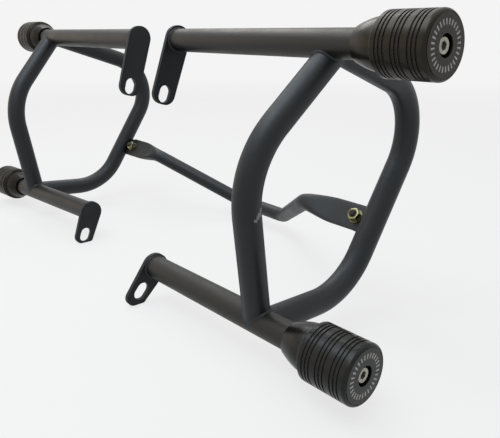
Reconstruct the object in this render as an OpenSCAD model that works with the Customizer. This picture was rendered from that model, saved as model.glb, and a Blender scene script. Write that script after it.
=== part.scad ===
/* [Tubes] */
// Outside diameter of the main tubes and the hoops
tube_d = 25.4; // [22:0.1:30]
// Wall of the main tubes and the hoops
tube_wall = 2; // [1.5:0.1:3]

/* [Frame] */
// Depth from the rear hoop's corner to the front hoop's upper corner
frame_depth = 260; // [235:1:285]
// Drop from the upper tube to the lower tube
frame_drop = 242; // [220:1:270]
// How far the lower tube lies behind the upper tube, where the rear hoop meets it
lower_setback = 62; // [45:1:80]
// Distance of the rear hoop from the middle, on the lower tube
lower_hoop_x = 279.5; // [265:0.5:295]
// How far further out the front hoop starts, on the upper tube
front_top_out = 18.5; // [10:0.5:28]
// How far the front hoop is moved outboard of the rear hoop, on the lower tube
lower_hoop_step = 8.5; // [0:0.5:16]
// From the front hoop to the end of the upper tube
upper_stub = 59; // [52:0.5:70]
// From the rear hoop to the end of the lower tube
lower_stub = 68.5; // [55:0.5:80]

/* [Rear hoop] */
// How far further out the right rear hoop's upper end is than its lower end
right_rear_top_out = 18.5; // [15:0.5:22]
// How far further out the left rear hoop's upper end is than its lower end
left_rear_top_out = 31; // [24:0.5:38]
// How far in front of the upper tube's axis the right rear hoop's upper end is aimed
right_rear_top_reach = 14; // [10:0.5:15]
// How far in front of the upper tube's axis the left rear hoop's upper end is aimed
left_rear_top_reach = 0; // [-6:0.5:4]
// How far the rear hoop's corner reaches back
rear_reach = 84; // [70:1:100]
// How far the rear hoop's corner lies below the upper tube
rear_drop = 95; // [80:1:115]
// How far the rear hoop's corner lies outboard of its lower end
rear_corner_out = 6; // [0:1:15]
// Bend radius of the rear hoop
rear_bend_r = 90; // [60:1:110]

/* [Front hoop] */
// How far the front hoop's upper corner lies below the upper tube
front_upper_drop = 62; // [50:1:80]
// How far the front hoop's lower corner lies in front of the upper tube
front_lower_reach = 55; // [40:1:75]
// How far the front hoop's lower corner lies below the lower tube
front_lower_drop = 8; // [0:1:16]
// Bend radius of the front hoop's upper corner
front_upper_bend_r = 62; // [45:1:75]
// Bend radius of the front hoop's lower corner
front_lower_bend_r = 75; // [50:1:85]

/* [Brackets] */
// Thickness of the bracket plates
bracket_t = 5; // [4:0.5:8]
// Diameter of each bracket's round head
bracket_head_d = 30; // [26:0.5:34]
// Width of a bolt slot
slot_w = 14; // [10:0.5:16]
// Length of a bolt slot from end to end
slot_l = 20; // [17:0.5:26]
// Distance of the right upper bracket from the middle
right_upper_x = 62; // [40:1:90]
// Distance of the left upper bracket from the middle
left_upper_x = 22; // [10:1:40]
// Distance of the right lower bracket from the middle
right_lower_x = 112; // [90:1:130]
// Distance of the left lower bracket from the middle
left_lower_x = 100; // [85:1:125]
// From the tube to the slot on the right upper bracket
right_upper_bracket_l = 63; // [50:1:80]
// Lean of the right upper bracket from plumb
right_upper_bracket_lean = 19.5; // [0:1:30]
// From the tube to the slot on the left upper bracket
left_upper_bracket_l = 59.5; // [50:1:80]
// Lean of the left upper bracket from plumb
left_upper_bracket_lean = 16; // [0:1:30]
// Width of the upper brackets
upper_bracket_w = 28; // [24:0.5:32]
// From the tube to the slot on the right lower bracket
right_lower_bracket_l = 30.5; // [28:1:45]
// Lean of the right lower bracket from plumb
right_lower_bracket_lean = 39.5; // [20:1:50]
// From the tube to the slot on the left lower bracket
left_lower_bracket_l = 33.5; // [30:1:50]
// Lean of the left lower bracket from plumb
left_lower_bracket_lean = 20; // [0:1:40]
// How far the upper brackets' heads are centred above the tubes' axis
upper_head_rise = 1.5; // [0:0.1:2]
// Wall between the slot and the foot of the right lower bracket
right_lower_foot_wall = 5; // [1.5:0.5:8]
// Wall between the slot and the foot of the left lower bracket
left_lower_foot_wall = 1.5; // [1:0.5:5]
// Width of the right lower bracket
right_lower_bracket_w = 22; // [20:0.5:28]
// Width of the left lower bracket
left_lower_bracket_w = 25; // [20:0.5:28]
// How far the left lower tube's inner end lies forward of its hoop
left_lower_forward = 14.5; // [0:0.5:25]
// How far the left lower tube's inner end lies above its hoop
left_lower_rise = 5; // [0:0.5:15]
// How far the right lower tube's inner end lies behind its hoop
right_lower_back = 9; // [0:0.5:20]

/* [Cross brace] */
// Outside diameter of the cross brace
brace_d = 20; // [16:0.5:22]
// Wall of the cross brace
brace_wall = 1.5; // [1:0.1:2]
// How far in from the front hoops the brace's bolts are
brace_bolt_in = 27.5; // [23.5:0.5:29.5]
// From the brace's bolts in to its outer corners
brace_outer_in = 80; // [78:1:92]
// Distance of the brace's inner corners from the middle
brace_inner_x = 48; // [30:1:70]
// How far the brace's middle stands away from its ends
brace_offset = 105; // [80:1:125]
// Slope of that offset, below level
brace_slope = 39.5; // [30:0.5:50]
// Bend radius of the brace
brace_bend_r = 30; // [22:1:32]
// Thickness of the brace's pressed ends
brace_flat_t = 4; // [3:0.5:6]
// Length of the pressed part past the bolt
brace_flat_end = 13; // [10:0.5:13]
// Length of the pressed part before the bolt
brace_flat_in = 42; // [30:1:44]
// Length over which the tube is pressed flat
brace_press_l = 20; // [16:1:22]
// Height of the brace's bolts above the lower tube
brace_bolt_rise = 60; // [45:1:70]
// Thickness of the brace tabs
tab_t = 5; // [4:0.5:6]
// Height of the brace tabs
tab_h = 28; // [24:0.5:32]

/* [Sliders] */
// Diameter of the sliders
slider_d = 51.3; // [46:0.1:56]
// Length of the sliders
slider_l = 74; // [70:0.5:90]
// Diameter of a slider's small end
slider_neck_d = 31; // [30:0.5:36]
// Diameter at the end of a slider's cone
slider_cone_d = 43; // [40:0.5:45]
// Length of a slider's cone
slider_cone_l = 24; // [20:0.5:30]
// How far the tube goes into a slider
slider_socket_l = 24; // [18:0.5:30]
// Rounding of a slider's outer edge
slider_edge_r = 3; // [1:0.5:5]
// Width of a slider's grooves
groove_w = 1.6; // [1:0.1:2]
// Depth of a slider's grooves
groove_depth = 1.2; // [0.5:0.1:2]
// Spacing of the grooves in a band
groove_pitch = 3.5; // [2.5:0.1:4]
// Spacing of the bands of grooves
band_pitch = 14; // [12:0.1:15]
// From a slider's outer face to its first band
band_start = 10.5; // [8.5:0.5:12]
// Diameter of the bolt recess in a slider
recess_d = 17; // [16.5:0.5:20]
// Depth of the bolt recess in a slider
recess_depth = 11; // [10:0.5:16]

/* [Fasteners] */
// Thread diameter of every bolt
bolt_d = 8; // [6:1:8]
// Head diameter of the slider bolts
cap_head_d = 13; // [12:0.5:14]
// Key size of the slider bolts
key_w = 6; // [5:0.5:7]
// Width across the flats of the brace bolts and nuts
hex_w = 13; // [12:0.5:14]
// Height of the brace bolts' heads
hex_h = 5.5; // [4:0.5:6]
// Height of the brace nuts
nut_h = 6.5; // [5:0.5:8]
// Diameter of the washers
washer_d = 16; // [15:0.5:16]
// Thickness of the washers
washer_t = 1.6; // [1:0.1:2]
// Length of the threaded inserts in the tube ends
insert_l = 20; // [14:1:30]

/* [Clearances] */
// Gap around the tube in a slider's socket
socket_gap = 0.2; // [0.05:0.05:0.4]
// Gap around an insert in its tube
insert_gap = 0.05; // [0.02:0.01:0.1]
// Gap around a bolt's thread in a nut or insert
thread_gap = 0.03; // [0.02:0.01:0.1]
// Gap around a bolt in a plain hole
bolt_gap = 0.3; // [0.1:0.05:0.5]

/* [Hidden] */
$fn = 72;
// How far a cutting shape runs past the face that it cuts
past = 1;

// How far the hoops' ends stop short of the main tubes' axes
cope_trim = 4;
// How much thinner a tube is drawn in its bends, and how far its straights run into them
bend_draw = 0.1;
bend_lap = 0.5;
// Wall between the slots and the feet of the upper brackets
upper_foot_wall = 2;
// Rounding of the brackets' feet, at the back and at the front
upper_foot_r = [12, 12];
lower_foot_r = [9, 4];
shoulder_r = 0.5;
// A slider's step between its cone and its body, its bands, and the ring on its face
cone_steps = 8;
cone_step = 1.5;
cone_chamfer = 2;
bands = 3;
face_ring_in = 3;
face_ring_w = 0.8;
face_ring_depth = 0.5;
// A slider bolt's gap to its insert's inner end, and its key's depth
insert_spare = 4;
key_depth = 4;
// Distances of the brace's bolts and outer corners from the middle
brace_bolt_x = lower_hoop_x - brace_bolt_in;
brace_outer_x = brace_bolt_x - brace_outer_in;
// How far the tabs' near faces lie past the front hoops' axis
tab_offset = 10;
// Rounding of the brace's ends, and the lap of its pressed part over its tube
brace_corner_r = 6;
press_lap = 1;
press_skin = 0.1;
// How far the brace's bore stops short of its pressed parts
bore_short = 2;
// How far the brace bolts stand out of their nuts
bolt_end = 3;

// Colours
coat = [0.17, 0.17, 0.18];
plate = [0.13, 0.13, 0.13];
nylon = [0.10, 0.10, 0.10];
zinc = [0.75, 0.76, 0.78];
yellow_zinc = [0.78, 0.70, 0.38];

// Radius of the brackets' heads, and from a slot's middle to the middle of its rounded end
head_r = bracket_head_d / 2;
slot_run = (slot_l - slot_w) / 2;
// Corner points of the right unit, with the upper tube's axis on y = 0, z = 0
front_hoop_x = lower_hoop_x;
front_top = [lower_hoop_x + front_top_out, 0, 0];
rear_corner = [lower_hoop_x + rear_corner_out, -rear_reach, -rear_drop];
rear_foot = [lower_hoop_x, -lower_setback, -frame_drop];
front_upper = [front_hoop_x, frame_depth - rear_reach, -front_upper_drop];
front_lower = [front_hoop_x, front_lower_reach, -frame_drop - front_lower_drop];

// Vectors
function unit(v) = v / norm(v);
function side_on(d) = unit(cross(abs(d[2]) < 0.9 ? [0, 0, 1] : [1, 0, 0], d));
function frame_at(p, x, y, z) = [
  [x[0], y[0], z[0], p[0]],
  [x[1], y[1], z[1], p[1]],
  [x[2], y[2], z[2], p[2]],
  [0, 0, 0, 1]
];

// Places on the tubes of one side, where -1 is the left unit before it is mirrored
function upper_inner(side) = [(side > 0 ? right_upper_x : left_upper_x) + bracket_t, 0, 0];
function lower_inner(side) = side > 0
  ? [right_lower_x + bracket_t, -lower_setback - right_lower_back, -frame_drop]
  : [left_lower_x + bracket_t, -lower_setback + left_lower_forward, -frame_drop + left_lower_rise];
function lower_way(side) = unit(rear_foot - lower_inner(side));
function rear_top(side) = side > 0
  ? [lower_hoop_x + right_rear_top_out, right_rear_top_reach, 0]
  : [lower_hoop_x + left_rear_top_out, left_rear_top_reach, 0];
function upper_outer() = front_top + [upper_stub, 0, 0];
function lower_outer(side) = rear_foot + lower_way(side) * lower_stub;
function front_foot(side) = rear_foot + lower_way(side) * lower_hoop_step;
function rear_path(side) = longer([rear_top(side), rear_corner, rear_foot], -cope_trim);
function front_path(side) = longer([front_top, front_upper, front_lower, front_foot(side)], -cope_trim);

// Children of a side, mirrored on the left
module on_side(side) {
  if (side > 0) children();
  else mirror([1, 0, 0]) children();
}

// Children with their z axis along d and their origin at p
module facing(p, d) {
  x = side_on(unit(d));
  multmatrix(frame_at(p, x, cross(unit(d), x), unit(d))) children();
}

// A round bar from p to q
module bar(p, q, d) {
  facing(p, q - p) cylinder(d = d, h = norm(q - p));
}

// A round bar's bend at the corner b of the path a, b, c
module bend(a, b, c, r, d) {
  u = unit(b - a);
  w = unit(c - b);
  turn = acos(u * w);
  middle = b + unit(w - u) * r / cos(turn / 2);
  x = unit(b - u * r * tan(turn / 2) - middle);
  multmatrix(frame_at(middle, x, u, cross(x, u)))
    rotate_extrude(angle = turn)
      translate([r, 0]) circle(d = d);
}

function bend_length(path, i, r) =
  r * tan(acos(unit(path[i] - path[i - 1]) * unit(path[i + 1] - path[i])) / 2);

// A round bar along a path, with a bend radius for each corner
module bent_bar(path, radii, d) {
  last = len(path) - 1;
  for (i = [0 : last - 1]) {
    way = unit(path[i + 1] - path[i]);
    from = i == 0 ? path[0] : path[i] + way * (bend_length(path, i, radii[i - 1]) - bend_lap);
    to = i == last - 1 ? path[last] : path[i + 1] - way * (bend_length(path, i + 1, radii[i]) - bend_lap);
    bar(from, to, d);
  }
  for (i = [1 : last - 1]) bend(path[i - 1], path[i], path[i + 1], radii[i - 1], d - bend_draw);
}

// A path made longer at both ends
function longer(path, by) = [
  for (i = [0 : len(path) - 1])
    i == 0 ? path[0] + unit(path[0] - path[1]) * by
    : i == len(path) - 1 ? path[i] + unit(path[i] - path[i - 1]) * by
    : path[i]
];

// A tube along a path
module bent_tube(path, radii, d, wall) {
  difference() {
    bent_bar(path, radii, d);
    bent_bar(longer(path, past), radii, d - 2 * wall);
  }
}

// The outside of the main tubes of one side, as a cutting shape
module main_bars(side) {
  bar(upper_inner(side), upper_outer(), tube_d);
  bar(lower_inner(side) - lower_way(side) * past, lower_outer(side), tube_d);
}

// Straight tube from the upper bracket to the upper slider
module upper_tube(side) {
  color(coat) on_side(side) difference() {
    bar(upper_inner(side), upper_outer(), tube_d);
    bar(upper_inner(side) - [past, 0, 0], upper_outer() + [past, 0, 0], tube_d - 2 * tube_wall);
  }
}

// Straight tube from the lower bracket to the lower slider, cut flush with the bracket
module lower_tube(side) {
  spare = lower_way(side) * tube_d / 2;
  bore_end = lower_way(side) * (tube_d / 2 + past);
  color(coat) on_side(side) difference() {
    bar(lower_inner(side) - spare, lower_outer(side), tube_d);
    bar(lower_inner(side) - bore_end, lower_outer(side) + lower_way(side) * past, tube_d - 2 * tube_wall);
    translate(lower_inner(side) - [2 * tube_d, tube_d, tube_d]) cube(2 * tube_d);
  }
}

// Rear hoop, coped onto both main tubes and the front hoop's upper end
module rear_hoop(side) {
  color(coat) on_side(side) difference() {
    bent_tube(rear_path(side), [rear_bend_r], tube_d, tube_wall);
    main_bars(side);
    bar(front_path(side)[0], front_upper, tube_d);
  }
}

// Front hoop, coped onto both main tubes and the rear hoop's lower end
module front_hoop(side) {
  color(coat) on_side(side) difference() {
    bent_tube(front_path(side), [front_upper_bend_r, front_lower_bend_r], tube_d, tube_wall);
    main_bars(side);
    bar(rear_corner, rear_foot, tube_d);
  }
}

// A convex outline with its own rounding at each corner
module rounded(points, radii) {
  n = len(points);
  corners = [
    for (i = [0 : n - 1])
      let (a = unit(points[(i + n - 1) % n] - points[i]), b = unit(points[(i + 1) % n] - points[i]))
      let (half = acos(a * b) / 2, back = radii[i] / tan(half))
      [points[i] + a * back, points[i] + b * back, points[i] + unit(a + b) * radii[i] / sin(half)]
  ];
  polygon([for (c = corners) each [c[0], c[1]]]);
  for (i = [0 : n - 1]) translate(corners[i][2]) circle(r = radii[i]);
}

// A bracket's outline, hanging from its head, with its foot cut at an angle to its length
// and a wall between its slot and its foot
module bracket_outline(l, w, rise, wall, cut, radii) {
  taper = atan((head_r - w / 2) / l);
  foot = l + slot_run + (slot_w / 2 + wall) / cos(cut);
  shoulder = [0, rise] + head_r * [cos(taper), -sin(taper)];
  translate([0, rise]) circle(r = head_r);
  rounded([
    [-shoulder[0], shoulder[1]],
    [-w / 2, -foot - w / 2 * tan(cut)],
    [w / 2, -foot + w / 2 * tan(cut)],
    shoulder
  ], [shoulder_r, radii[0], radii[1], shoulder_r]);
}

// A slot's outline, along y
module slot_outline() {
  for (way = [-1, 1]) translate([0, way * slot_run]) circle(d = slot_w);
  square([slot_w, 2 * slot_run], center = true);
}

// A bracket plate whose outboard face is at p
module bracket(p, l, w, lean, rise, wall, cut, radii) {
  translate(p - [bracket_t, 0, 0]) rotate([-lean, 0, 0]) rotate([90, 0, 90]) difference() {
    linear_extrude(bracket_t) bracket_outline(l, w, rise, wall, cut, radii);
    translate([0, -l, -past]) linear_extrude(bracket_t + 2 * past) slot_outline();
  }
}

module upper_bracket(side) {
  l = side > 0 ? right_upper_bracket_l : left_upper_bracket_l;
  lean = side > 0 ? right_upper_bracket_lean : left_upper_bracket_lean;
  color(plate) on_side(side)
    bracket(upper_inner(side), l, upper_bracket_w, lean, upper_head_rise, upper_foot_wall, 0, upper_foot_r);
}

module lower_bracket(side) {
  l = side > 0 ? right_lower_bracket_l : left_lower_bracket_l;
  lean = side > 0 ? right_lower_bracket_lean : left_lower_bracket_lean;
  w = side > 0 ? right_lower_bracket_w : left_lower_bracket_w;
  wall = side > 0 ? right_lower_foot_wall : left_lower_foot_wall;
  color(plate) on_side(side)
    bracket(lower_inner(side), l, w, lean, 0, wall, lean, lower_foot_r);
}

// A slider's outline, with its radius along x and its length along y
module slider_outline() {
  cone = [
    for (i = [0 : cone_steps])
      let (t = i / cone_steps)
      [(slider_neck_d + (slider_cone_d - slider_neck_d) * sin(90 * t)) / 2, slider_cone_l * t]
  ];
  body_r = slider_d / 2;
  difference() {
    union() {
      polygon([
        [0, 0],
        each cone,
        [body_r - cone_chamfer, slider_cone_l + cone_step],
        [body_r, slider_cone_l + cone_step + cone_chamfer],
        [body_r, slider_l - slider_edge_r],
        [body_r - slider_edge_r, slider_l],
        [0, slider_l]
      ]);
      translate([body_r - slider_edge_r, slider_l - slider_edge_r]) circle(r = slider_edge_r);
    }
    for (band = [0 : bands - 1], line = [-1 : 1])
      translate([
        body_r - groove_depth,
        slider_l - band_start - band * band_pitch + line * groove_pitch - groove_w / 2
      ])
        square([groove_depth + past, groove_w]);
    translate([slider_d / 2 - face_ring_in, slider_l - face_ring_depth])
      square([face_ring_w, face_ring_depth + past]);
  }
}

// Children in a slider's place, with z outboard from its small end
module at_slider(side, upper) {
  way = upper ? [1, 0, 0] : lower_way(side);
  tube_end = upper ? upper_outer() : lower_outer(side);
  on_side(side) facing(tube_end - way * slider_socket_l, way) children();
}

// Turned slider with a socket for the tube, a bolt hole and a recess for the bolt's head
module slider(side, upper) {
  color(nylon) at_slider(side, upper) difference() {
    rotate_extrude() slider_outline();
    translate([0, 0, -past]) cylinder(d = tube_d + 2 * socket_gap, h = slider_socket_l + past);
    cylinder(d = bolt_d + 2 * bolt_gap, h = slider_l);
    translate([0, 0, slider_l - recess_depth]) cylinder(d = recess_d, h = recess_depth + past);
  }
}

// Washer under a slider bolt's head
module slider_washer(side, upper) {
  color(zinc) at_slider(side, upper) translate([0, 0, slider_l - recess_depth]) washer();
}

module washer() {
  difference() {
    cylinder(d = washer_d, h = washer_t);
    translate([0, 0, -past]) cylinder(d = bolt_d + 2 * bolt_gap, h = washer_t + 2 * past);
  }
}

// Socket head bolt through a slider into its tube's insert
module slider_bolt(side, upper) {
  seat = slider_l - recess_depth + washer_t;
  tip = slider_socket_l - insert_l + insert_spare;
  color(zinc) at_slider(side, upper) difference() {
    union() {
      translate([0, 0, tip]) cylinder(d = bolt_d, h = seat - tip);
      translate([0, 0, seat]) cylinder(d = cap_head_d, h = bolt_d);
    }
    translate([0, 0, seat + bolt_d - key_depth]) cylinder(d = key_w / cos(30), h = key_depth + past, $fn = 6);
  }
}

// Threaded insert in a tube's outer end
module insert(side, upper) {
  color(zinc) at_slider(side, upper) translate([0, 0, slider_socket_l - insert_l]) difference() {
    cylinder(d = tube_d - 2 * tube_wall - 2 * insert_gap, h = insert_l);
    translate([0, 0, -past]) cylinder(d = bolt_d + 2 * thread_gap, h = insert_l + 2 * past);
  }
}

// Direction in which the brace's middle stands away from its ends, and the frame of its bolts:
// x runs across the motorcycle, z away from the nuts, and z = 0 is the tabs' near face
brace_way = [0, cos(brace_slope), -sin(brace_slope)];
function hoop_at(z) = front_upper
  + (front_lower - front_upper) * (front_upper[2] - z) / (front_upper[2] - front_lower[2]);
brace_hoop = hoop_at(-frame_drop + brace_bolt_rise);
brace_origin = [0, brace_hoop[1], brace_hoop[2]] + brace_way * tab_offset;

module at_brace() {
  multmatrix(frame_at(brace_origin, [1, 0, 0], cross(brace_way, [1, 0, 0]), brace_way)) children();
}

module at_brace_bolt(side) {
  on_side(side) at_brace() translate([brace_bolt_x, 0, 0]) children();
}

// Tab on the front hoop, coped onto it
module brace_tab(side) {
  reach = front_hoop_x - brace_bolt_x;
  color(plate) difference() {
    at_brace_bolt(side) difference() {
      union() {
        cylinder(d = tab_h, h = tab_t);
        translate([0, -tab_h / 2, 0]) cube([reach, tab_h, tab_t]);
      }
      translate([0, 0, -past]) cylinder(d = bolt_d + 2 * bolt_gap, h = tab_t + 2 * past);
    }
    on_side(side) bar(front_upper, front_lower, tube_d);
  }
}

// Where the brace's round tube ends, in the brace's frame
brace_round_x = brace_bolt_x - brace_flat_in - brace_press_l;
brace_line = -brace_flat_t / 2;
brace_path = [
  [-brace_round_x, 0, brace_line],
  [-brace_outer_x, 0, brace_line],
  [-brace_inner_x, 0, brace_line + brace_offset],
  [brace_inner_x, 0, brace_line + brace_offset],
  [brace_outer_x, 0, brace_line],
  [brace_round_x, 0, brace_line]
];
brace_radii = [brace_bend_r, brace_bend_r, brace_bend_r, brace_bend_r];
// A round tube pressed flat is as high as half its girth
brace_flat_h = PI * (brace_d - brace_wall) / 2 + brace_wall;

// Pressed end of the brace, in the frame of its bolt
module pressed_end() {
  flat_l = brace_flat_in + brace_flat_end;
  translate([-brace_flat_in, 0, -brace_flat_t]) linear_extrude(brace_flat_t) union() {
    translate([0, -brace_flat_h / 2]) square([flat_l - brace_corner_r, brace_flat_h]);
    translate([0, -brace_flat_h / 2 + brace_corner_r]) square([flat_l, brace_flat_h - 2 * brace_corner_r]);
    for (way = [-1, 1])
      translate([flat_l - brace_corner_r, way * (brace_flat_h / 2 - brace_corner_r)])
        circle(r = brace_corner_r);
  }
  hull() {
    translate([-brace_flat_in - brace_press_l - press_lap, 0, brace_line]) rotate([0, 90, 0])
      cylinder(d = brace_d - 2 * press_skin, h = press_lap, $fn = 32);
    translate([-brace_flat_in, press_skin - brace_flat_h / 2, press_skin - brace_flat_t])
      cube([press_lap, brace_flat_h - 2 * press_skin, brace_flat_t - 2 * press_skin]);
  }
}

// Cross brace from one front hoop to the other
module cross_brace() {
  color(coat) at_brace() difference() {
    union() {
      bent_bar(brace_path, brace_radii, brace_d);
      for (side = [-1, 1]) on_side(side) translate([brace_bolt_x, 0, 0]) pressed_end();
    }
    bent_bar(longer(brace_path, -bore_short), brace_radii, brace_d - 2 * brace_wall);
    for (side = [-1, 1])
      translate([side * brace_bolt_x, 0, -brace_flat_t - past])
        cylinder(d = bolt_d + 2 * bolt_gap, h = brace_flat_t + 2 * past);
  }
}

// Hexagonal bolt through a tab and the brace, with its head on the tab's far side
module brace_bolt(side) {
  grip = brace_flat_t + washer_t + nut_h + bolt_end;
  color(yellow_zinc) at_brace_bolt(side) {
    translate([0, 0, tab_t]) cylinder(d = hex_w / cos(30), h = hex_h, $fn = 6);
    translate([0, 0, -grip]) cylinder(d = bolt_d, h = grip + tab_t);
  }
}

// Washer between a brace nut and the brace
module brace_washer(side) {
  color(yellow_zinc) at_brace_bolt(side) translate([0, 0, -brace_flat_t - washer_t]) washer();
}

module brace_nut(side) {
  color(yellow_zinc) at_brace_bolt(side) translate([0, 0, -brace_flat_t - washer_t - nut_h]) difference() {
    cylinder(d = hex_w / cos(30), h = nut_h, $fn = 6);
    translate([0, 0, -past]) cylinder(d = bolt_d + 2 * thread_gap, h = nut_h + 2 * past);
  }
}

upper_tube(1);  // right_upper_tube
lower_tube(1);  // right_lower_tube
rear_hoop(1);  // right_rear_hoop
front_hoop(1);  // right_front_hoop
upper_bracket(1);  // right_upper_bracket
lower_bracket(1);  // right_lower_bracket
brace_tab(1);  // right_brace_tab
slider(1, true);  // right_upper_slider
slider_bolt(1, true);  // right_upper_slider_bolt
slider_washer(1, true);  // right_upper_slider_washer
insert(1, true);  // right_upper_insert
slider(1, false);  // right_lower_slider
slider_bolt(1, false);  // right_lower_slider_bolt
slider_washer(1, false);  // right_lower_slider_washer
insert(1, false);  // right_lower_insert
brace_bolt(1);  // right_brace_bolt
brace_nut(1);  // right_brace_nut
brace_washer(1);  // right_brace_washer
upper_tube(-1);  // left_upper_tube
lower_tube(-1);  // left_lower_tube
rear_hoop(-1);  // left_rear_hoop
front_hoop(-1);  // left_front_hoop
upper_bracket(-1);  // left_upper_bracket
lower_bracket(-1);  // left_lower_bracket
brace_tab(-1);  // left_brace_tab
slider(-1, true);  // left_upper_slider
slider_bolt(-1, true);  // left_upper_slider_bolt
slider_washer(-1, true);  // left_upper_slider_washer
insert(-1, true);  // left_upper_insert
slider(-1, false);  // left_lower_slider
slider_bolt(-1, false);  // left_lower_slider_bolt
slider_washer(-1, false);  // left_lower_slider_washer
insert(-1, false);  // left_lower_insert
brace_bolt(-1);  // left_brace_bolt
brace_nut(-1);  // left_brace_nut
brace_washer(-1);  // left_brace_washer
cross_brace();
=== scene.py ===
import math

import bmesh
import bpy
from mathutils import Matrix, Vector


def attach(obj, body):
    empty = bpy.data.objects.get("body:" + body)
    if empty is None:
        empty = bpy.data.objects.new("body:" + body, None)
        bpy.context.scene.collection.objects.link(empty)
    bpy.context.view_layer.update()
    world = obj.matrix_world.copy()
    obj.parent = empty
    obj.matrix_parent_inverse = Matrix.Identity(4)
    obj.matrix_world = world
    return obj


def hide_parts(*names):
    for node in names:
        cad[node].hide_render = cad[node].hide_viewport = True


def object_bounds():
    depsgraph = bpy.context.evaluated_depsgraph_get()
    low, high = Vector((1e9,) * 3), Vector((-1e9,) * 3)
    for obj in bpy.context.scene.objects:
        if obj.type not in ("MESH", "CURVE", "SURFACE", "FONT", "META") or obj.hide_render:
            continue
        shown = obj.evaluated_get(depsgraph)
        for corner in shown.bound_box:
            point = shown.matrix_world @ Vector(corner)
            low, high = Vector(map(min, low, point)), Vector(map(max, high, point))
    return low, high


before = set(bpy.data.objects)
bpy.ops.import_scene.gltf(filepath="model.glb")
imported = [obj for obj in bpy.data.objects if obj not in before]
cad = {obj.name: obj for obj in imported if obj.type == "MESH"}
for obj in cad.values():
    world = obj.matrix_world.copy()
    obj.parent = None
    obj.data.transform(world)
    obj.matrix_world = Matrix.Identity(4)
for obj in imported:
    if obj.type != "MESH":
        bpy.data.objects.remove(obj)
cad_low, cad_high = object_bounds()
ROOT = "root"

MM = 0.001
RIGHT = 1
LEFT = -1
SIDES = ((RIGHT, "Right"), (LEFT, "Left"))
LEVELS = ((True, "upper"), (False, "lower"))
X_WAY = Vector((1, 0, 0))
Y_WAY = Vector((0, 1, 0))
Z_WAY = Vector((0, 0, 1))

# Sizes of the side frames, as the solids have them. Each point is on the right side, on a tube's axis
TUBE_R = 12.7 * MM
UPPER_INNER = {RIGHT: Vector((67, 0, 0)) * MM, LEFT: Vector((27, 0, 0)) * MM}
UPPER_END = Vector((357, 0, 0)) * MM
LOWER_INNER = {RIGHT: Vector((117, -71, -242)) * MM, LEFT: Vector((105, -47.5, -237)) * MM}
LOWER_STUB = 68.5 * MM
REAR_TOP = {RIGHT: Vector((298, 14, 0)) * MM, LEFT: Vector((310.5, 0, 0)) * MM}
REAR_CORNER = Vector((285.5, -84, -95)) * MM
REAR_FOOT = Vector((279.5, -62, -242)) * MM
FRONT_TOP = Vector((298, 0, 0)) * MM
FRONT_UPPER = Vector((279.5, 176, -62)) * MM
FRONT_LOWER = Vector((279.5, 55, -250)) * MM
FRONT_STEP = 8.5 * MM

# Sizes of the brace and its tabs
BRACE_SLOPE = math.radians(39.5)
BRACE_BOLT_X = 252 * MM
BRACE_BOLT_Z = -182 * MM
BRACE_R = 10 * MM
BRACE_OUTER = 172 * MM
BRACE_INNER = 48 * MM
BRACE_OFFSET = 105 * MM
BRACE_BEND = 30 * MM
BRACE_FLAT = 4 * MM
TAB_OFFSET = 10 * MM
TAB_H = 28 * MM
TAB_T = 5 * MM

# Sizes of the brace's nuts and bolts
BOLT_R = 4 * MM
PITCH = 1.25 * MM
HEX_FLATS = 13 * MM
HEX_TURN = math.radians(12)
NUT_H = 6.5 * MM
WASHER_T = 1.6 * MM
BOLT_SHOWN = 3 * MM
HEAD_H = 5.5 * MM
NUT_TOP = -(BRACE_FLAT + WASHER_T)
NUT_END = NUT_TOP - NUT_H
BOLT_TIP = NUT_END - BOLT_SHOWN
HEAD_TOP = TAB_T + HEAD_H

# Sizes of the sliders and their socket bolts
SLIDER_L = 74 * MM
SLIDER_R = 25.65 * MM
SLIDER_SOCKET = 24 * MM
RECESS = 11 * MM
CAP_R = 6.5 * MM
CAP_H = 8 * MM
KEY = 6 * MM
KEY_DEPTH = 4 * MM
BOLT_PAST_SOCKET = 16 * MM

# Colours, as linear values
COAT = (0.0050, 0.0058, 0.0068)
COAT_PALE = (0.0100, 0.0112, 0.0128)
PLATE = (0.0070, 0.0080, 0.0084)
# The left brackets' colour is painted lighter than the right ones': painted light for the light that falls
# on them
PLATE_LEFT_PAINTED_LIGHTER = (0.0150, 0.0162, 0.0175)
SCUFF = (0.30, 0.30, 0.29)
NYLON = (0.0054, 0.0045, 0.0031)
NYLON_PALE = (0.0096, 0.0086, 0.0070)
# Paler colour painted on the sliders' groove floors: painted light that lifts the shade in the grooves
GROOVE_PAINTED_LIGHT = (0.040, 0.037, 0.033)
TICK_PAINT = (0.52, 0.51, 0.48)
ZINC = (0.36, 0.355, 0.30)
ZINC_DULL = (0.25, 0.25, 0.22)
YELLOW_ZINC = (0.22, 0.205, 0.115)
YELLOW_GREEN = (0.25, 0.265, 0.145)
BOLT_DARK = (0.035, 0.028, 0.032)
PAPER_LOW = (0.79, 0.79, 0.79)
PAPER_HIGH = (0.81, 0.81, 0.81)

# Tints painted onto the reflections, standing in for the colours of the surroundings they show
PLAIN = (1.0, 1.0, 1.0)
COOL_PAINTED_REFLECTION = (0.90, 0.96, 1.0)
WARM_PAINTED_REFLECTION = (1.0, 0.93, 0.83)
BROWN_PAINTED_REFLECTION = (1.0, 0.92, 0.76)


def linear(level):
    """A display level from 0 to 255 as a linear value."""
    c = level / 255
    return c / 12.92 if c <= 0.04045 else ((c + 0.055) / 1.055) ** 2.4


BACK = linear(244)
BACKDROP = (BACK, BACK, BACK, 1.0)


def mirrored(point, side):
    """A point of the right side, on a given side."""
    return Vector((point[0] * side, point[1], point[2]))


def standing(point, x, way):
    """A frame at a point with its x axis along x and its z axis along way, square to x."""
    return Matrix.Translation(point) @ Matrix((x, way.cross(x), way)).transposed().to_4x4()


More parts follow.
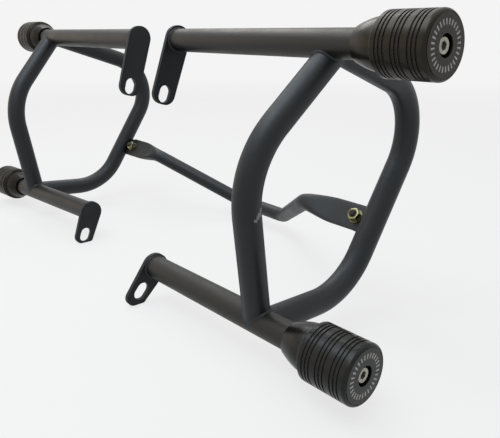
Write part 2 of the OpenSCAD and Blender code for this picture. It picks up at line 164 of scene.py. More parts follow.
class Finish:
    """A material, with short forms of the nodes that make its finish."""

    def __init__(self, name):
        self.material = bpy.data.materials.new(name)
        self.material.use_nodes = True
        self.tree = self.material.node_tree
        self.bsdf = self.tree.nodes["Principled BSDF"]
        self.position = self.node("ShaderNodeTexCoord").outputs["Object"]

    def node(self, kind, **values):
        made = self.tree.nodes.new(kind)
        for name, value in values.items():
            setattr(made, name, value)
        return made

    def link(self, source, target):
        if hasattr(source, "is_output"):
            self.tree.links.new(source, target)
        else:
            target.default_value = source

    def noise(self, scale, detail=2.0, rough=0.5):
        made = self.node("ShaderNodeTexNoise")
        self.link(self.position, made.inputs["Vector"])
        made.inputs["Scale"].default_value = scale
        made.inputs["Detail"].default_value = detail
        made.inputs["Roughness"].default_value = rough
        return made.outputs["Fac"]

    def ranged(self, value, between, gives):
        """A value carried from one range to another, and held at its ends."""
        made = self.node("ShaderNodeMapRange")
        for slot, source in zip(range(5), (value, *between, *gives)):
            self.link(source, made.inputs[slot])
        return made.outputs[0]

    def maths(self, operation, a, b=0.0):
        made = self.node("ShaderNodeMath", operation=operation)
        self.link(a, made.inputs[0])
        self.link(b, made.inputs[1])
        return made.outputs[0]

    def times(self, *values):
        product = values[0]
        for value in values[1:]:
            product = self.maths("MULTIPLY", product, value)
        return product

    def dot(self, vector, way):
        made = self.node("ShaderNodeVectorMath", operation="DOT_PRODUCT")
        self.link(vector, made.inputs[0])
        self.link(tuple(way), made.inputs[1])
        return made.outputs["Value"]

    def away(self, point):
        made = self.node("ShaderNodeVectorMath", operation="SUBTRACT")
        self.link(self.position, made.inputs[0])
        self.link(tuple(point), made.inputs[1])
        return made.outputs["Vector"]

    def distance(self, point):
        made = self.node("ShaderNodeVectorMath", operation="DISTANCE")
        self.link(self.position, made.inputs[0])
        self.link(tuple(point), made.inputs[1])
        return made.outputs["Value"]

    def mix(self, share, a, b):
        made = self.node("ShaderNodeMix", data_type="RGBA")
        self.link(share, made.inputs["Factor"])
        for slot, source in ((6, a), (7, b)):
            colour = source if hasattr(source, "is_output") else (*source, 1.0)
            self.link(colour, made.inputs[slot])
        return made.outputs[2]

    def bump(self, height, strength, depth, before=None):
        made = self.node("ShaderNodeBump")
        made.inputs["Strength"].default_value = strength
        made.inputs["Distance"].default_value = depth
        self.link(height, made.inputs["Height"])
        if before is not None:
            self.link(before, made.inputs["Normal"])
        return made.outputs["Normal"]

    def soft_edge(self, radius):
        made = self.node("ShaderNodeBevel", samples=4)
        made.inputs["Radius"].default_value = radius
        return made.outputs["Normal"]

    def done(self, colour, rough, normal, metal=0.0, gloss=0.5, tint=PLAIN):
        self.bsdf.inputs["Specular IOR Level"].default_value = gloss
        self.bsdf.inputs["Specular Tint"].default_value = (*tint, 1.0)
        self.bsdf.inputs["Metallic"].default_value = metal
        self.link(colour, self.bsdf.inputs["Base Color"])
        self.link(rough, self.bsdf.inputs["Roughness"])
        self.link(normal, self.bsdf.inputs["Normal"])
        return self.material


# Powder coat of the tubes
COAT_ROUGH = 0.46


def tube_coat(name, tint, scuffs=()):
    """Satin black coat with a fine grain. Each scuff is a point, a reach and a strength."""
    s = Finish(name)
    cloud = s.noise(scale=28, detail=3, rough=0.6)
    grain = s.noise(scale=1700, detail=2, rough=0.6)
    skin = s.noise(scale=420, detail=2, rough=0.5)
    colour = s.mix(s.ranged(cloud, (0.35, 0.68), (0.0, 0.55)), COAT, COAT_PALE)
    speck = s.ranged(s.noise(scale=900, detail=1, rough=0.5), (0.74, 0.80), (0.0, 0.35))
    colour = s.mix(speck, colour, COAT_PALE)
    for point, reach, strength in scuffs:
        near = s.times(s.distance(point), 1 / reach)
        ragged = s.ranged(s.noise(scale=700, detail=3, rough=0.7), (0.3, 0.7), (-0.45, 0.45))
        edge = s.maths("ADD", near, ragged)
        colour = s.mix(s.ranged(edge, (0.55, 1.0), (strength, 0.0)), colour, SCUFF)
    rough = s.ranged(cloud, (0.3, 0.7), (COAT_ROUGH - 0.05, COAT_ROUGH + 0.06))
    normal = s.bump(skin, strength=0.10, depth=0.4 * MM)
    normal = s.bump(grain, strength=0.16, depth=0.22 * MM, before=normal)
    return s.done(colour, rough, normal, gloss=0.37, tint=tint)


# Satin coat of the brackets and tabs
def bracket_coat(name, paint):
    """Smoother coat with softly rounded edges."""
    s = Finish(name)
    grain = s.noise(scale=1500, detail=2, rough=0.6)
    cloud = s.noise(scale=45, detail=3, rough=0.6)
    colour = s.mix(s.ranged(cloud, (0.35, 0.7), (0.0, 0.4)), paint, COAT)
    rough = s.ranged(cloud, (0.3, 0.7), (0.46, 0.56))
    normal = s.bump(grain, strength=0.22, depth=0.25 * MM, before=s.soft_edge(0.7 * MM))
    return s.done(colour, rough, normal, gloss=0.26, tint=COOL_PAINTED_REFLECTION)


# Plating of the bolts, nuts and washers
TIP_CORE = 0.86


def plated_steel(name, bright, dull, rough, tips=()):
    """Plated steel that is dark within a reach of each tip."""
    s = Finish(name)
    wear = s.noise(scale=260, detail=4, rough=0.65)
    fine = s.noise(scale=2600, detail=2, rough=0.6)
    colour = s.mix(s.ranged(wear, (0.3, 0.72), (0.0, 0.8)), bright, dull)
    for point, reach in tips:
        inside = s.ranged(s.distance(point), (reach * TIP_CORE, reach), (1.0, 0.0))
        colour = s.mix(inside, colour, BOLT_DARK)
    worn_rough = s.ranged(wear, (0.3, 0.7), (rough - 0.06, rough + 0.09))
    normal = s.bump(fine, strength=0.12, depth=0.1 * MM, before=s.soft_edge(0.25 * MM))
    return s.done(colour, worn_rough, normal, metal=1.0)


# Turned nylon of the sliders
TICKS = 28
TICK_THIN = (0.16, 0.20)
TICK_INNER = 14.1 * MM
TICK_OUTER = 18.6 * MM
TICK_EDGE = 0.3 * MM
FACE_DEPTH = 0.3 * MM
GROOVE_FLOOR = SLIDER_R - 0.9 * MM
GROOVE_LIP = SLIDER_R - 0.3 * MM
BANDS_FROM = -52 * MM
BANDS_FADE = 3 * MM
BANDS_TO = -4 * MM
LATHE_MARKS = 2600


def slider_nylon(name, face, way, tint, gloss, groove_light):
    """Turned nylon whose end face is at a point, square to a way, with a ring of plain ticks on it and
    painted light on its groove floors.
    """
    s = Finish(name)
    rel = s.away(face)
    side = way.cross(Z_WAY).normalized()
    up = side.cross(way).normalized()
    along = s.dot(rel, way)
    across = s.dot(rel, side)
    height = s.dot(rel, up)
    radius = s.maths("SQRT", s.maths("ADD", s.times(across, across), s.times(height, height)))

    turn = s.maths("ARCTAN2", height, across)
    phase = s.maths("FRACT", s.maths("ADD", s.times(turn, TICKS / (2 * math.pi)), TICKS))
    thin = s.ranged(s.maths("ABSOLUTE", s.maths("SUBTRACT", phase, 0.5)), TICK_THIN, (1.0, 0.0))
    inner = s.ranged(radius, (TICK_INNER, TICK_INNER + TICK_EDGE), (0.0, 1.0))
    outer = s.ranged(radius, (TICK_OUTER - TICK_EDGE, TICK_OUTER), (1.0, 0.0))
    on_face = s.maths("GREATER_THAN", along, -FACE_DEPTH)
    tick = s.times(thin, on_face, inner, outer)
    worn = s.ranged(s.noise(scale=900, detail=3, rough=0.7), (0.30, 0.55), (0.55, 1.0))

    cloud = s.noise(scale=60, detail=3, rough=0.6)
    colour = s.mix(s.ranged(cloud, (0.35, 0.7), (0.0, 0.6)), NYLON, NYLON_PALE)
    # Painted light: the groove floors are painted paler, lifting the shade in them, by a share given for
    # each slider
    in_groove = s.ranged(radius, (GROOVE_FLOOR, GROOVE_LIP), (1.0, 0.0))
    in_bands = s.ranged(along, (BANDS_FROM, BANDS_FROM + BANDS_FADE), (0.0, 1.0))
    before_face = s.maths("LESS_THAN", along, BANDS_TO)
    colour = s.mix(s.times(in_groove, in_bands, before_face, groove_light), colour, GROOVE_PAINTED_LIGHT)
    colour = s.mix(s.times(tick, worn), colour, TICK_PAINT)

    lathe = s.node("ShaderNodeTexNoise", noise_dimensions="1D")
    s.link(s.maths("SUBTRACT", along, radius), lathe.inputs["W"])
    lathe.inputs["Scale"].default_value = LATHE_MARKS
    lathe.inputs["Detail"].default_value = 2
    rough = s.maths("ADD", s.ranged(cloud, (0.3, 0.7), (0.24, 0.32)), s.times(tick, 0.25))
    edge = s.soft_edge(0.4 * MM)
    normal = s.bump(lathe.outputs["Fac"], strength=0.10, depth=0.12 * MM, before=edge)
    return s.done(colour, rough, normal, gloss=gloss, tint=tint)


# Places of the sliders and the brace
def lower_way(side):
    """The way out along a lower tube."""
    return mirrored((REAR_FOOT - LOWER_INNER[side]).normalized(), side)


def slider_way(side, upper):
    """The way out along a slider's tube."""
    return Vector((side, 0, 0)) if upper else lower_way(side)


def slider_face(side, upper):
    """The middle of a slider's end face."""
    past_tube = SLIDER_L - SLIDER_SOCKET
    if upper:
        return mirrored(UPPER_END, side) + slider_way(side, upper) * past_tube
    return mirrored(REAR_FOOT, side) + lower_way(side) * (LOWER_STUB + past_tube)


def brace_frame():
    """The brace's frame: x across the motorcycle, z away from the nuts, z = 0 on the tabs' near face."""
    way = Vector((0, math.cos(BRACE_SLOPE), -math.sin(BRACE_SLOPE)))
    share = (FRONT_UPPER.z - BRACE_BOLT_Z) / (FRONT_UPPER.z - FRONT_LOWER.z)
    hoop = FRONT_UPPER.lerp(FRONT_LOWER, share)
    origin = Vector((0, hoop.y, hoop.z)) + way * TAB_OFFSET
    return standing(origin, X_WAY, way)


BRACE = brace_frame()

# Materials of the pieces
SCUFFS = [
    (Vector((296.3, -78.3, -140.2)) * MM, 1.7 * MM, 0.9),
    (Vector((296.3, -76.0, -137.8)) * MM, 2.4 * MM, 0.9),
    (Vector((295.9, -73.9, -135.4)) * MM, 2.8 * MM, 0.9),
    (Vector((294.6, -71.0, -132.0)) * MM, 2.6 * MM, 0.9),
    (Vector((286.6, 57.15, -227.2)) * MM, 1.1 * MM, 0.6),
]
TIP_AT = BRACE @ Vector((BRACE_BOLT_X, 0, BOLT_TIP + 1.0 * MM))
TIP_REACH = BOLT_R * 1.22
TIPS = [(mirrored(TIP_AT, side), TIP_REACH) for side in (RIGHT, LEFT)]

# Hoops, welds and straight tubes share one coat; the copies differ in painted reflection tints, cool on the
# hoops and welds and warm on the straight tubes, and in the hoops' scuffs
hoop_coat = tube_coat("Hoop_coat_cool_reflection", COOL_PAINTED_REFLECTION, SCUFFS)
straight_coat = tube_coat("Straight_tube_coat_warm_reflection", WARM_PAINTED_REFLECTION)
weld_coat = tube_coat("Weld_coat", COOL_PAINTED_REFLECTION)
right_plate_coat = bracket_coat("Bracket_coat_right", PLATE)
# The left brackets' coat is a copy of the same coat, painted lighter to stand in for the light on them
left_plate_coat_painted_lighter = bracket_coat("Bracket_coat_left_painted_lighter", PLATE_LEFT_PAINTED_LIGHTER)
zinc_steel = plated_steel("Zinc_steel", ZINC, ZINC_DULL, 0.34)
yellow_zinc = plated_steel("Yellow_zinc", YELLOW_ZINC, YELLOW_GREEN, 0.30, TIPS)


def nylon_of(side, hand, upper, level):
    """The nylon of one slider. The near lower one gets a painted cool reflection tint and the others a
    painted brown one; the far ones are less glossy and get less painted light in their grooves.
    """
    name = f"Slider_nylon_{hand.lower()}_{level}"
    tint = COOL_PAINTED_REFLECTION if side == RIGHT and not upper else BROWN_PAINTED_REFLECTION
    gloss, groove_light = (0.25, 1.0) if side == RIGHT else (0.10, 0.45)
    return slider_nylon(name, slider_face(side, upper), slider_way(side, upper), tint, gloss, groove_light)


sliders = {}
for side, hand in SIDES:
    for upper, level in LEVELS:
        sliders[f"{hand.lower()}_{level}_slider"] = nylon_of(side, hand, upper, level)


def material_of(node):
    """The material of a CAD node, by its name."""
    if node in sliders:
        return sliders[node]
    if "slider_bolt" in node or "slider_washer" in node or "insert" in node:
        return zinc_steel
    if "brace_bolt" in node or "brace_nut" in node or "brace_washer" in node:
        return yellow_zinc
    if "bracket" in node or "tab" in node:
        # Left brackets and tabs take the copy of the coat that is painted lighter
        return left_plate_coat_painted_lighter if node.startswith("left") else right_plate_coat
    if "upper_tube" in node or "lower_tube" in node:
        return straight_coat
    return hoop_coat


for name, piece in cad.items():
    piece.data.materials.clear()
    piece.data.materials.append(material_of(name))

# Pieces through rings
SMOOTH_BELOW = math.radians(35)


def piece_of(name, bm, material, nodes=()):
    """A piece of the object from a finished bmesh. It stands for the CAD nodes that are named."""
    mesh = bpy.data.meshes.new(name)
    for face in bm.faces:
        face.smooth = True
    for edge in bm.edges:
        edge.smooth = len(edge.link_faces) != 2 or edge.calc_face_angle() < SMOOTH_BELOW
    bm.to_mesh(mesh)
    bm.free()
    mesh.materials.append(material)
    made = bpy.data.objects.new(name, mesh)
    bpy.context.scene.collection.objects.link(made)
    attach(made, ROOT)
    if nodes:
        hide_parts(*nodes)


def lofted(name, places, outlines, material, nodes=(), segments=96, endless=False):
    """A piece through rings. An outline gives a point for each turn, in its place's x and y."""
    bm = bmesh.new()
    made = bmesh.ops.create_circle(bm, cap_ends=not endless, segments=segments, radius=1)["verts"]
    order = {v: math.atan2(v.co.y, v.co.x) for v in made}
    ring = sorted(made, key=lambda v: order[v])
    turns = [order[v] for v in ring]
    for v, turn in zip(ring, turns):
        v.co = places[0] @ Vector((*outlines[0](turn), 0))
    first = list(bm.edges)
    edges = first
    for place, outline in zip(places[1:], outlines[1:]):
        grown = bmesh.ops.extrude_edge_only(bm, edges=edges)["geom"]
        fresh = {g for g in grown if isinstance(g, bmesh.types.BMVert)}
        edges = [g for g in grown if isinstance(g, bmesh.types.BMEdge) and set(g.verts) <= fresh]
        ring = [next(e.other_vert(v) for e in v.link_edges if e.other_vert(v) in fresh) for v in ring]
        for v, turn in zip(ring, turns):
            v.co = place @ Vector((*outline(turn), 0))
    if endless:
        bmesh.ops.bridge_loops(bm, edges=first + edges)
    else:
        bmesh.ops.holes_fill(bm, edges=edges)
    bmesh.ops.recalc_face_normals(bm, faces=bm.faces)
    piece_of(name, bm, material, nodes)


def round_outline(shape):
    """The outline of a radius, or of a function that gives a radius for each turn."""
    reach = shape if callable(shape) else lambda turn: shape
    return lambda turn: (reach(turn) * math.cos(turn), reach(turn) * math.sin(turn))


# Weld beads round the tubes
HOOP_BEAD = 2.9 * MM
HOOP_BEAD_PROUD = 0.05 * MM
HOOP_BEAD_WIDTH = 1.9 * MM
PLATE_BEAD = 2.9 * MM
PLATE_BEAD_SINK = 1.5 * MM
TAB_BEAD = 1.5 * MM
BEAD_SIDES = 14
RIPPLE_STEP = 0.55 * MM
RIPPLE_SHARE = 0.016
DRIFT_SHARE = 0.012
SEAM_STEPS = 144
RING_STEPS = 96
TAB_STEPS = 12
LOWER_REACH = 60 * MM


def where_it_leaves(point, way, tube):
    """How far along way a line from point leaves a round tube, or None where it misses it."""
    start, end = tube
    axis = (end - start).normalized()
    rel = point - start
    flat_rel = rel - axis * rel.dot(axis)
    flat_way = way - axis * way.dot(axis)
    a = flat_way.length_squared
    b = 2 * flat_rel.dot(flat_way)
    c = flat_rel.length_squared - TUBE_R * TUBE_R
    room = b * b - 4 * a * c
    if room < 0:
        return None
    return (-b + math.sqrt(room)) / (2 * a)


def out_of(tube, point):
    """The way from a tube's axis out to a point."""
    axis = (tube[1] - tube[0]).normalized()
    rel = point - tube[0]
    return (rel - axis * rel.dot(axis)).normalized()


def beside(tube, point):
    """Whether a point lies between a tube's ends."""
    axis = tube[1] - tube[0]
    return 0 <= (point - tube[0]).dot(axis) <= axis.length_squared


def round_tube(way, steps):
    """Ways out of a tube that runs along a way, all round it."""
    u = way.orthogonal().normalized()
    v = way.cross(u)
    turns = [2 * math.pi * i / steps for i in range(steps)]
    return [u * math.cos(turn) + v * math.sin(turn) for turn in turns]


def hoop_seam(start, end, tubes):
    """A line just under the corner where a hoop from start to end leaves the tubes at its start."""
    way = (end - start).normalized()
    found = []
    for out in round_tube(way, SEAM_STEPS):
        point = start + out * TUBE_R
        exits = []
        for tube in tubes:
            far = where_it_leaves(point, way, tube)
            if far is not None and beside(tube, point + way * far):
                exits.append((far, tube))
        if exits:
            far, tube = max(exits, key=lambda pair: pair[0])
            corner = point + way * far
            middle = out + out_of(tube, corner)
            opening = math.sqrt(max(0.0, 1 - middle.length_squared / 4))
            sink = HOOP_BEAD - HOOP_BEAD_PROUD - HOOP_BEAD_WIDTH * opening
            found.append(corner - middle.normalized() * sink)
    return found


def plate_seam(end, way):
    """A line just under the corner between a bracket, square to x, and the tube that ends on it."""
    found = []
    for out in round_tube(way, RING_STEPS):
        rim = end + out * TUBE_R
        corner = rim + way * ((end.x - rim.x) / way.x)
        found.append(corner - (out + X_WAY).normalized() * PLATE_BEAD_SINK)
    return found


def tab_seam():
    """The line round a tab where it lies on the front hoop."""
    hoop = (FRONT_UPPER, FRONT_LOWER)
    inward = -X_WAY
    forward = BRACE.to_3x3() @ Z_WAY
    near = []
    end = []
    for i in range(TAB_STEPS + 1):
        foot = BRACE @ Vector((FRONT_UPPER.x, TAB_H * (i / TAB_STEPS - 0.5), 0))
        near.append(foot + inward * where_it_leaves(foot, inward, hoop))
        end.append(foot + forward * where_it_leaves(foot, forward, hoop))
    return near + end[::-1]


def at_ripples(points):
    """Points at even steps round a closed line through points, four to a ripple."""
    line = points + points[:1]
    lengths = [0.0]
    for a, b in zip(line, line[1:]):
        lengths.append(lengths[-1] + (b - a).length)
    count = max(8, round(lengths[-1] / RIPPLE_STEP / 4) * 4)
    found = []
    j = 0
    for i in range(count):
        at = lengths[-1] * i / count
        while j < len(lengths) - 2 and lengths[j + 1] < at:
            j += 1
        span = lengths[j + 1] - lengths[j] or 1.0
        found.append(line[j].lerp(line[j + 1], (at - lengths[j]) / span))
    return found


def bead_size(size, i):
    """The radius of a bead at its i-th ring, with its ripples and the drift of the welder's hand."""
    ripple = math.sin(i * math.pi / 2)
    drift = math.sin(i * 0.23) + math.sin(i * 0.061 + 2)
    return size * (1 + RIPPLE_SHARE * ripple + DRIFT_SHARE * drift)


def weld_bead(name, side, seam, size):
    """A bead round a closed seam of the right side, on a given side."""
    points = [mirrored(p, side) for p in at_ripples(seam)]
    pairs = zip(points, points[1:] + points[:1])
    middle = sum((a.cross(b) for a, b in pairs), Vector((0, 0, 0))).normalized()
    places = []
    for i, point in enumerate(points):
        way = (points[(i + 1) % len(points)] - points[i - 1]).normalized()
        x = (middle - way * middle.dot(way)).normalized()
        places.append(standing(point, x, way))
    outlines = [round_outline(bead_size(size, i)) for i in range(len(points))]
    lofted(name, places, outlines, weld_coat, segments=BEAD_SIDES, endless=True)


for side, hand in SIDES:
    foot_way = (REAR_FOOT - LOWER_INNER[side]).normalized()
    front_foot = REAR_FOOT + foot_way * FRONT_STEP
    upper_tube = (UPPER_INNER[side], UPPER_END)
    lower_tube = (LOWER_INNER[side], front_foot + foot_way * LOWER_REACH)
    front_hoop = (FRONT_TOP, FRONT_UPPER)
    rear_hoop = (REAR_CORNER, REAR_FOOT)
    seams = {
        "rear_hoop_top_weld": hoop_seam(REAR_TOP[side], REAR_CORNER, [upper_tube, front_hoop]),
        "rear_hoop_foot_weld": hoop_seam(REAR_FOOT, REAR_CORNER, [lower_tube]),
        "front_hoop_top_weld": hoop_seam(FRONT_TOP, FRONT_UPPER, [upper_tube]),
        "front_hoop_foot_weld": hoop_seam(front_foot, FRONT_LOWER, [lower_tube, rear_hoop]),
    }
    for name, seam in seams.items():
        weld_bead(f"{hand}_{name}", side, seam, HOOP_BEAD)

for side, hand in SIDES:
    foot_way = (REAR_FOOT - LOWER_INNER[side]).normalized()
    weld_bead(f"{hand}_upper_plate_weld", side, plate_seam(UPPER_INNER[side], X_WAY), PLATE_BEAD)
    weld_bead(f"{hand}_lower_plate_weld", side, plate_seam(LOWER_INNER[side], foot_way), PLATE_BEAD)
    weld_bead(f"{hand}_brace_tab_weld", side, tab_seam(), TAB_BEAD)

# Nuts and bolts, each turned about its own z axis
CORNER_STEPS = [0.0, 0.2 * MM, 0.45 * MM, 0.75 * MM, 1.1 * MM]
CORNER_LEAN = math.tan(math.radians(60))
FACE_SHARE = 0.475


def hexagon(flats, limit=None):
    """The radius of a hexagon for each turn, cut back to a limit where there is one."""
    def radius(turn):
        corner = (turn + math.pi / 6) % (math.pi / 3) - math.pi / 6
        r = flats / 2 / math.cos(corner)
        return r if limit is None else min(r, limit)
    return radius


def turned(name, place, rings, material, nodes):
    """A piece along a place's z axis through rings, each a height and a shape."""
    places = [place @ Matrix.Translation((0, 0, z)) for z, shape in rings]
    outlines = [round_outline(shape) for z, shape in rings]
    lofted(name, places, outlines, material, nodes)


def turned_corner(flats, face_z, way):
    """Rings of a hexagon's turned corners, from its face at a height on along z (1) or against it (-1)."""
    face_r = flats * FACE_SHARE
    return [(face_z + way * d, hexagon(flats, face_r + d * CORNER_LEAN)) for d in CORNER_STEPS]


def nut_rings(bottom, top, flats, bore):
    """Rings of a hexagonal nut, from inside its lower face to inside its upper face."""
    chamfer = 0.5 * MM
    rings = [(bottom + chamfer, bore), (bottom, bore + chamfer)]
    rings += turned_corner(flats, bottom, 1)
    rings += reversed(turned_corner(flats, top, -1))
    return rings + [(top, bore + chamfer), (top - chamfer, bore)]


def brace_bolt_rings(core):
    """Rings of a brace bolt, from its tip through the brace and the tab to its head."""
    washer_r = HEX_FLATS * 0.47
    washer_z = TAB_T + 0.3 * MM
    crown_r = HEX_FLATS * FACE_SHARE
    rings = [
        (BOLT_TIP, core - 0.5 * MM),
        (BOLT_TIP + 0.5 * MM, core),
        (NUT_TOP, core),
        (NUT_TOP, BOLT_R),
        (TAB_T, BOLT_R),
        (TAB_T, washer_r),
        (washer_z, washer_r),
        (washer_z, hexagon(HEX_FLATS)),
    ]
    rings += reversed(turned_corner(HEX_FLATS, HEAD_TOP, -1))
    return rings + [(HEAD_TOP, crown_r * 0.9), (HEAD_TOP - 0.25 * MM, crown_r * 0.84)]


THREAD_TURNS = 7
THREAD_STEPS = 48
THREAD_DEPTH = 0.6 * MM
THREAD_ROOT = 0.2 * MM


def thread(name, place, core):
    """The bolt's thread: a ridge on its core, spun up along it."""
    bm = bmesh.new()
    ridge = [
        (core, 0),
        (BOLT_R, PITCH * 0.43),
        (BOLT_R, PITCH * 0.55),
        (core, PITCH * 0.98),
        (core - THREAD_ROOT, PITCH * 0.5),
    ]
    start = BOLT_TIP + 0.3 * MM
    line = [bmesh.ops.create_vert(bm, co=(r, 0, start + z))["vert"][0] for r, z in ridge]
    pairs = zip(line, line[1:] + line[:1])
    edges = [bmesh.ops.contextual_create(bm, geom=[a, b])["edges"][0] for a, b in pairs]
    bmesh.ops.spin(bm, geom=line + edges, cent=(0, 0, 0), axis=Z_WAY, dvec=(0, 0, PITCH / THREAD_STEPS),
                   angle=2 * math.pi * THREAD_TURNS, steps=THREAD_STEPS * THREAD_TURNS, use_duplicate=False)
    bmesh.ops.holes_fill(bm, edges=bm.edges)
    bmesh.ops.transform(bm, matrix=place, verts=bm.verts)
    bmesh.ops.recalc_face_normals(bm, faces=bm.faces)
    piece_of(name, bm, yellow_zinc)


for side, hand in SIDES:
    mirror = Matrix.Scale(side, 4, X_WAY)
    at_bolt = Matrix.Translation((BRACE_BOLT_X, 0, 0)) @ Matrix.Rotation(HEX_TURN, 4, "Z")
    place = mirror @ BRACE @ at_bolt
    core = BOLT_R - THREAD_DEPTH
    turned(f"{hand}_brace_hex_nut", place, nut_rings(NUT_END, NUT_TOP, HEX_FLATS, BOLT_R), yellow_zinc,
           [f"{hand.lower()}_brace_nut"])
    turned(f"{hand}_brace_hex_bolt", place, brace_bolt_rings(core), yellow_zinc,
           [f"{hand.lower()}_brace_bolt"])
    thread(f"{hand}_brace_bolt_thread", place, core)


def socket_bolt_rings():
    """Rings of a slider's bolt, from its tip to the floor of its key socket. Its head sits on z = 0."""
    tip = -(SLIDER_L - RECESS + WASHER_T - SLIDER_SOCKET + BOLT_PAST_SOCKET)
    edge = 0.3 * MM
    chamfer = 0.8 * MM
    lip = 0.35 * MM
    return [
        (tip, BOLT_R - chamfer),
        (tip + chamfer, BOLT_R),
        (0, BOLT_R),
        (0, CAP_R - edge),
        (edge, CAP_R),
        (CAP_H - chamfer, CAP_R),
        (CAP_H - lip, CAP_R - 0.2 * MM),
        (CAP_H, CAP_R - 0.7 * MM),
        (CAP_H, KEY * 0.62),
        (CAP_H - lip, hexagon(KEY, KEY * 0.60)),
        (CAP_H - KEY_DEPTH, hexagon(KEY)),
        (CAP_H - KEY_DEPTH - 0.6 * MM, 0.3 * MM),
    ]


for side, hand in SIDES:
    for upper, level in LEVELS:
        way = slider_way(side, upper)
        seat = slider_face(side, upper) + way * (WASHER_T - RECESS)
        place = standing(seat, way.orthogonal().normalized(), way)
        turned(f"{hand.lower()}_{level}_socket_bolt", place, socket_bolt_rings(), zinc_steel,
               [f"{hand.lower()}_{level}_slider_bolt"])

# Cross brace with smoothly pressed ends
FLAT_W = 30.56 * MM
FLAT_END = 13 * MM
FLAT_IN = 42 * MM
PRESS = 20 * MM
TIP_CORNER = 6 * MM
TIP_STEPS = 6
PRESS_STEPS = 14
BEND_STEP = 1.5 * MM
BRACE_SEGMENTS = 64
FLAT_FROM = BRACE_BOLT_X - 30 * MM
ROUND_FROM = BRACE_BOLT_X - 84 * MM
STRAIGHT_FROM = BRACE_BOLT_X - FLAT_IN - PRESS
BRACE_TIP = BRACE_BOLT_X + FLAT_END
BRACE_LINE_Z = -BRACE_FLAT / 2


def rounded_path(points, radius, step):
    """Places and ways along a path whose corners have a bend radius, without its ends."""
    found = []
    for a, b, c in zip(points, points[1:], points[2:]):
        before = (b - a).normalized()
        turn = before.angle(c - b)
        reach = radius * math.tan(turn / 2)
        axis = before.cross(c - b).normalized()
        centre = b - before * reach + axis.cross(before) * radius
        count = max(4, round(radius * turn / step))
        for i in range(count + 1):
            swing = Matrix.Rotation(turn * i / count, 3, axis)
            found.append((centre + swing @ (b - before * reach - centre), swing @ before))
    return found


def pressed(x):
    """Half the width, half the thickness and the squareness of the brace at a distance from its middle."""
    share = min(max((x - ROUND_FROM) / (FLAT_FROM - ROUND_FROM), 0), 1)
    ease = share * share * (3 - 2 * share)
    width = BRACE_R + (FLAT_W / 2 - BRACE_R) * ease
    thick = BRACE_R + (BRACE_FLAT / 2 - BRACE_R) * ease
    over = x - (BRACE_TIP - TIP_CORNER)
    if over > 0:
        width -= TIP_CORNER - math.sqrt(max(TIP_CORNER * TIP_CORNER - over * over, 0))
    return width, thick, 2 + 5 * ease


def flattened(width, thick, power):
    """A rounded outline that is round at power 2 and squarer above it."""
    def share(value):
        return math.copysign(abs(value) ** (2 / power), value)
    return lambda turn: (share(math.cos(turn)) * thick, share(math.sin(turn)) * width)


def end_stations():
    """Distances from the brace's middle along its straight end, from the tip inwards."""
    found = []
    for i in range(TIP_STEPS, -1, -1):
        found.append(BRACE_TIP - TIP_CORNER * (1 - math.sin(math.pi / 2 * i / TIP_STEPS)))
    found += [BRACE_TIP - TIP_CORNER - 6 * MM, FLAT_FROM + 2 * MM]
    for i in range(PRESS_STEPS, -1, -1):
        found.append(STRAIGHT_FROM + (FLAT_FROM - STRAIGHT_FROM) * i / PRESS_STEPS)
    return found


def cross_brace():
    """The bent brace, lofted from its left tip to its right tip."""
    bends = [(-BRACE_OUTER, 0), (-BRACE_INNER, BRACE_OFFSET), (BRACE_INNER, BRACE_OFFSET), (BRACE_OUTER, 0)]
    path = [(-STRAIGHT_FROM, 0)] + bends + [(STRAIGHT_FROM, 0)]
    corners = [Vector((x, 0, BRACE_LINE_Z + z)) for x, z in path]
    ends = end_stations()
    stations = [(Vector((-x, 0, BRACE_LINE_Z)), X_WAY, pressed(x)) for x in ends]
    for point, way in rounded_path(corners, BRACE_BEND, BEND_STEP):
        stations.append((point, way, pressed(abs(point.x))))
    stations += [(Vector((x, 0, BRACE_LINE_Z)), X_WAY, pressed(x)) for x in reversed(ends)]
    places = [BRACE @ standing(point, Y_WAY.cross(way), way) for point, way, shape in stations]
    outlines = [flattened(*shape) for point, way, shape in stations]
    lofted("Pressed_cross_brace", places, outlines, hoop_coat, ["cross_brace"], BRACE_SEGMENTS)


cross_brace()

# Paper floor, which is mostly plain white to the camera and in reflections
FLOOR_SIZE = 30
FLOOR_AT = (0, 0, cad_low.z)
SHADOW_NEAR = 0.5
SHADOW_FAR = 3.0
WHITE_SHARE = (0.82, 1.0)


def paper_floor():
    """The floor and its paper, which turns plain white away from the object."""
    ground = bmesh.new()
    bmesh.ops.create_grid(ground, x_segments=1, y_segments=1, size=FLOOR_SIZE)
    bmesh.ops.translate(ground, vec=FLOOR_AT, verts=ground.verts)
    mesh = bpy.data.meshes.new("Floor")
    ground.to_mesh(mesh)
    ground.free()
    floor = bpy.data.objects.new("Floor", mesh)
    bpy.context.scene.collection.objects.link(floor)

    s = Finish("Floor_paper")
    shade = s.mix(s.noise(scale=3), PAPER_LOW, PAPER_HIGH)
    s.done(shade, rough=0.9, normal=s.bump(s.noise(scale=300), strength=0.02, depth=0.2 * MM))
    glow = s.node("ShaderNodeEmission")
    glow.inputs["Color"].default_value = BACKDROP
    seen = s.node("ShaderNodeLightPath")
    direct = s.maths("MAXIMUM", seen.outputs["Is Camera Ray"], seen.outputs["Is Glossy Ray"])
    direct = s.maths("MAXIMUM", direct, seen.outputs["Is Transmission Ray"])
    share = s.ranged(s.distance(FLOOR_AT), (SHADOW_NEAR, SHADOW_FAR), WHITE_SHARE)
    blend = s.node("ShaderNodeMixShader")
    s.link(s.times(direct, share), blend.inputs["Fac"])
    s.link(s.bsdf.outputs["BSDF"], blend.inputs[1])
    s.link(glow.outputs["Emission"], blend.inputs[2])
    s.link(blend.outputs["Shader"], s.tree.nodes["Material Output"].inputs["Surface"])
    mesh.materials.append(s.material)


paper_floor()

# Room light, which lights the object dimly and shows as the backdrop
ROOM_LIGHT = 0.14
ROOM_COLOUR = (0.96, 0.98, 1.0, 1.0)


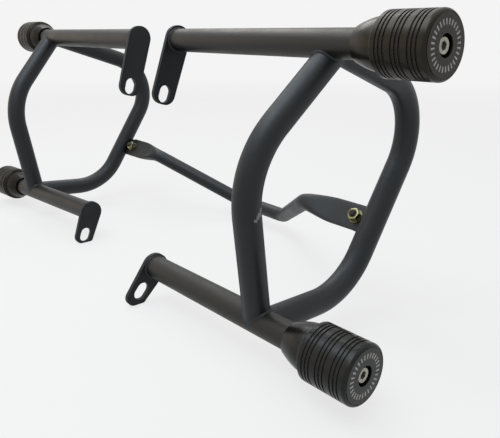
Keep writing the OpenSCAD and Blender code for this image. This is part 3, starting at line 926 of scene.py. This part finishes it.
def studio():
    """The world, with one background for light and one for what is seen directly."""
    world = bpy.data.worlds.new("Studio")
    bpy.context.scene.world = world
    world.use_nodes = True
    tree = world.node_tree
    tree.nodes.clear()
    room = tree.nodes.new("ShaderNodeBackground")
    room.inputs["Color"].default_value = ROOM_COLOUR
    room.inputs["Strength"].default_value = ROOM_LIGHT
    shown = tree.nodes.new("ShaderNodeBackground")
    shown.inputs["Color"].default_value = BACKDROP
    shown.inputs["Strength"].default_value = 1.0
    ray = tree.nodes.new("ShaderNodeLightPath")
    direct = ray.outputs["Is Camera Ray"]
    for kind in ("Is Glossy Ray", "Is Transmission Ray"):
        either = tree.nodes.new("ShaderNodeMath")
        either.operation = "MAXIMUM"
        tree.links.new(direct, either.inputs[0])
        tree.links.new(ray.outputs[kind], either.inputs[1])
        direct = either.outputs[0]
    choose = tree.nodes.new("ShaderNodeMixShader")
    tree.links.new(direct, choose.inputs["Fac"])
    tree.links.new(room.outputs["Background"], choose.inputs[1])
    tree.links.new(shown.outputs["Background"], choose.inputs[2])
    output = tree.nodes.new("ShaderNodeOutputWorld")
    tree.links.new(choose.outputs["Shader"], output.inputs["Surface"])


studio()


# Lamps
def soft_box(name, place, target, size, radiance, colour):
    """A rectangular lamp of a given brightness, turned to a target."""
    light = bpy.data.lights.new(name, "AREA")
    light.shape = "RECTANGLE"
    light.size = size[0]
    light.size_y = size[1]
    light.energy = radiance * math.pi * size[0] * size[1]
    light.color = colour
    made = bpy.data.objects.new(name, light)
    made.location = place
    way = Vector(target) - Vector(place)
    made.rotation_euler = way.to_track_quat("-Z", "Y").to_euler()
    made.visible_camera = False
    bpy.context.scene.collection.objects.link(made)


soft_box("Ceiling_box", (0, -0.3, 1.35), (0, -0.3, 0), (3.4, 3.4), 0.72, (1.0, 0.99, 0.98))
soft_box("Hoop_box", (0.05, -0.55, 1.2), (0.25, -0.05, -0.05), (1.3, 0.85), 3.8, (0.82, 0.91, 1.0))
soft_box("Side_box", (-1.1, 0.4, 1.24), (0.3, 0, 0), (0.9, 0.8), 3.6, (1.0, 0.98, 0.97))
soft_box("Warm_card", (-1.3, -1.3, 0.25), (0.1, 0, 0), (2.4, 1.0), 0.5, (1.0, 0.66, 0.36))

# Camera, fitted to the photograph
EYE = Vector((630.5, -361.4, 9.4)) * MM
LOOK = Vector((-0.742398, 0.615313, -0.265017))
DOWN = Vector((0.20404, -0.16912, -0.96424))
SENSOR_MM = 36
LENS_MM = 40.71
SHIFT_UP = -0.064
NEAR_CLIP = 0.01
FAR_CLIP = 100


def photo_camera():
    """The camera, its matrix built from the way it looks and the photo's down."""
    view = bpy.data.cameras.new("Camera")
    view.sensor_width = SENSOR_MM
    view.lens = LENS_MM
    view.shift_y = SHIFT_UP
    view.clip_start = NEAR_CLIP
    view.clip_end = FAR_CLIP
    camera = bpy.data.objects.new("Camera", view)
    up = -DOWN.normalized()
    back = -LOOK.normalized()
    right = up.cross(back).normalized()
    camera.matrix_world = Matrix.Translation(EYE) @ Matrix((right, up, back)).transposed().to_4x4()
    bpy.context.scene.collection.objects.link(camera)
    bpy.context.scene.camera = camera


photo_camera()
bpy.context.scene.view_settings.view_transform = "Standard"
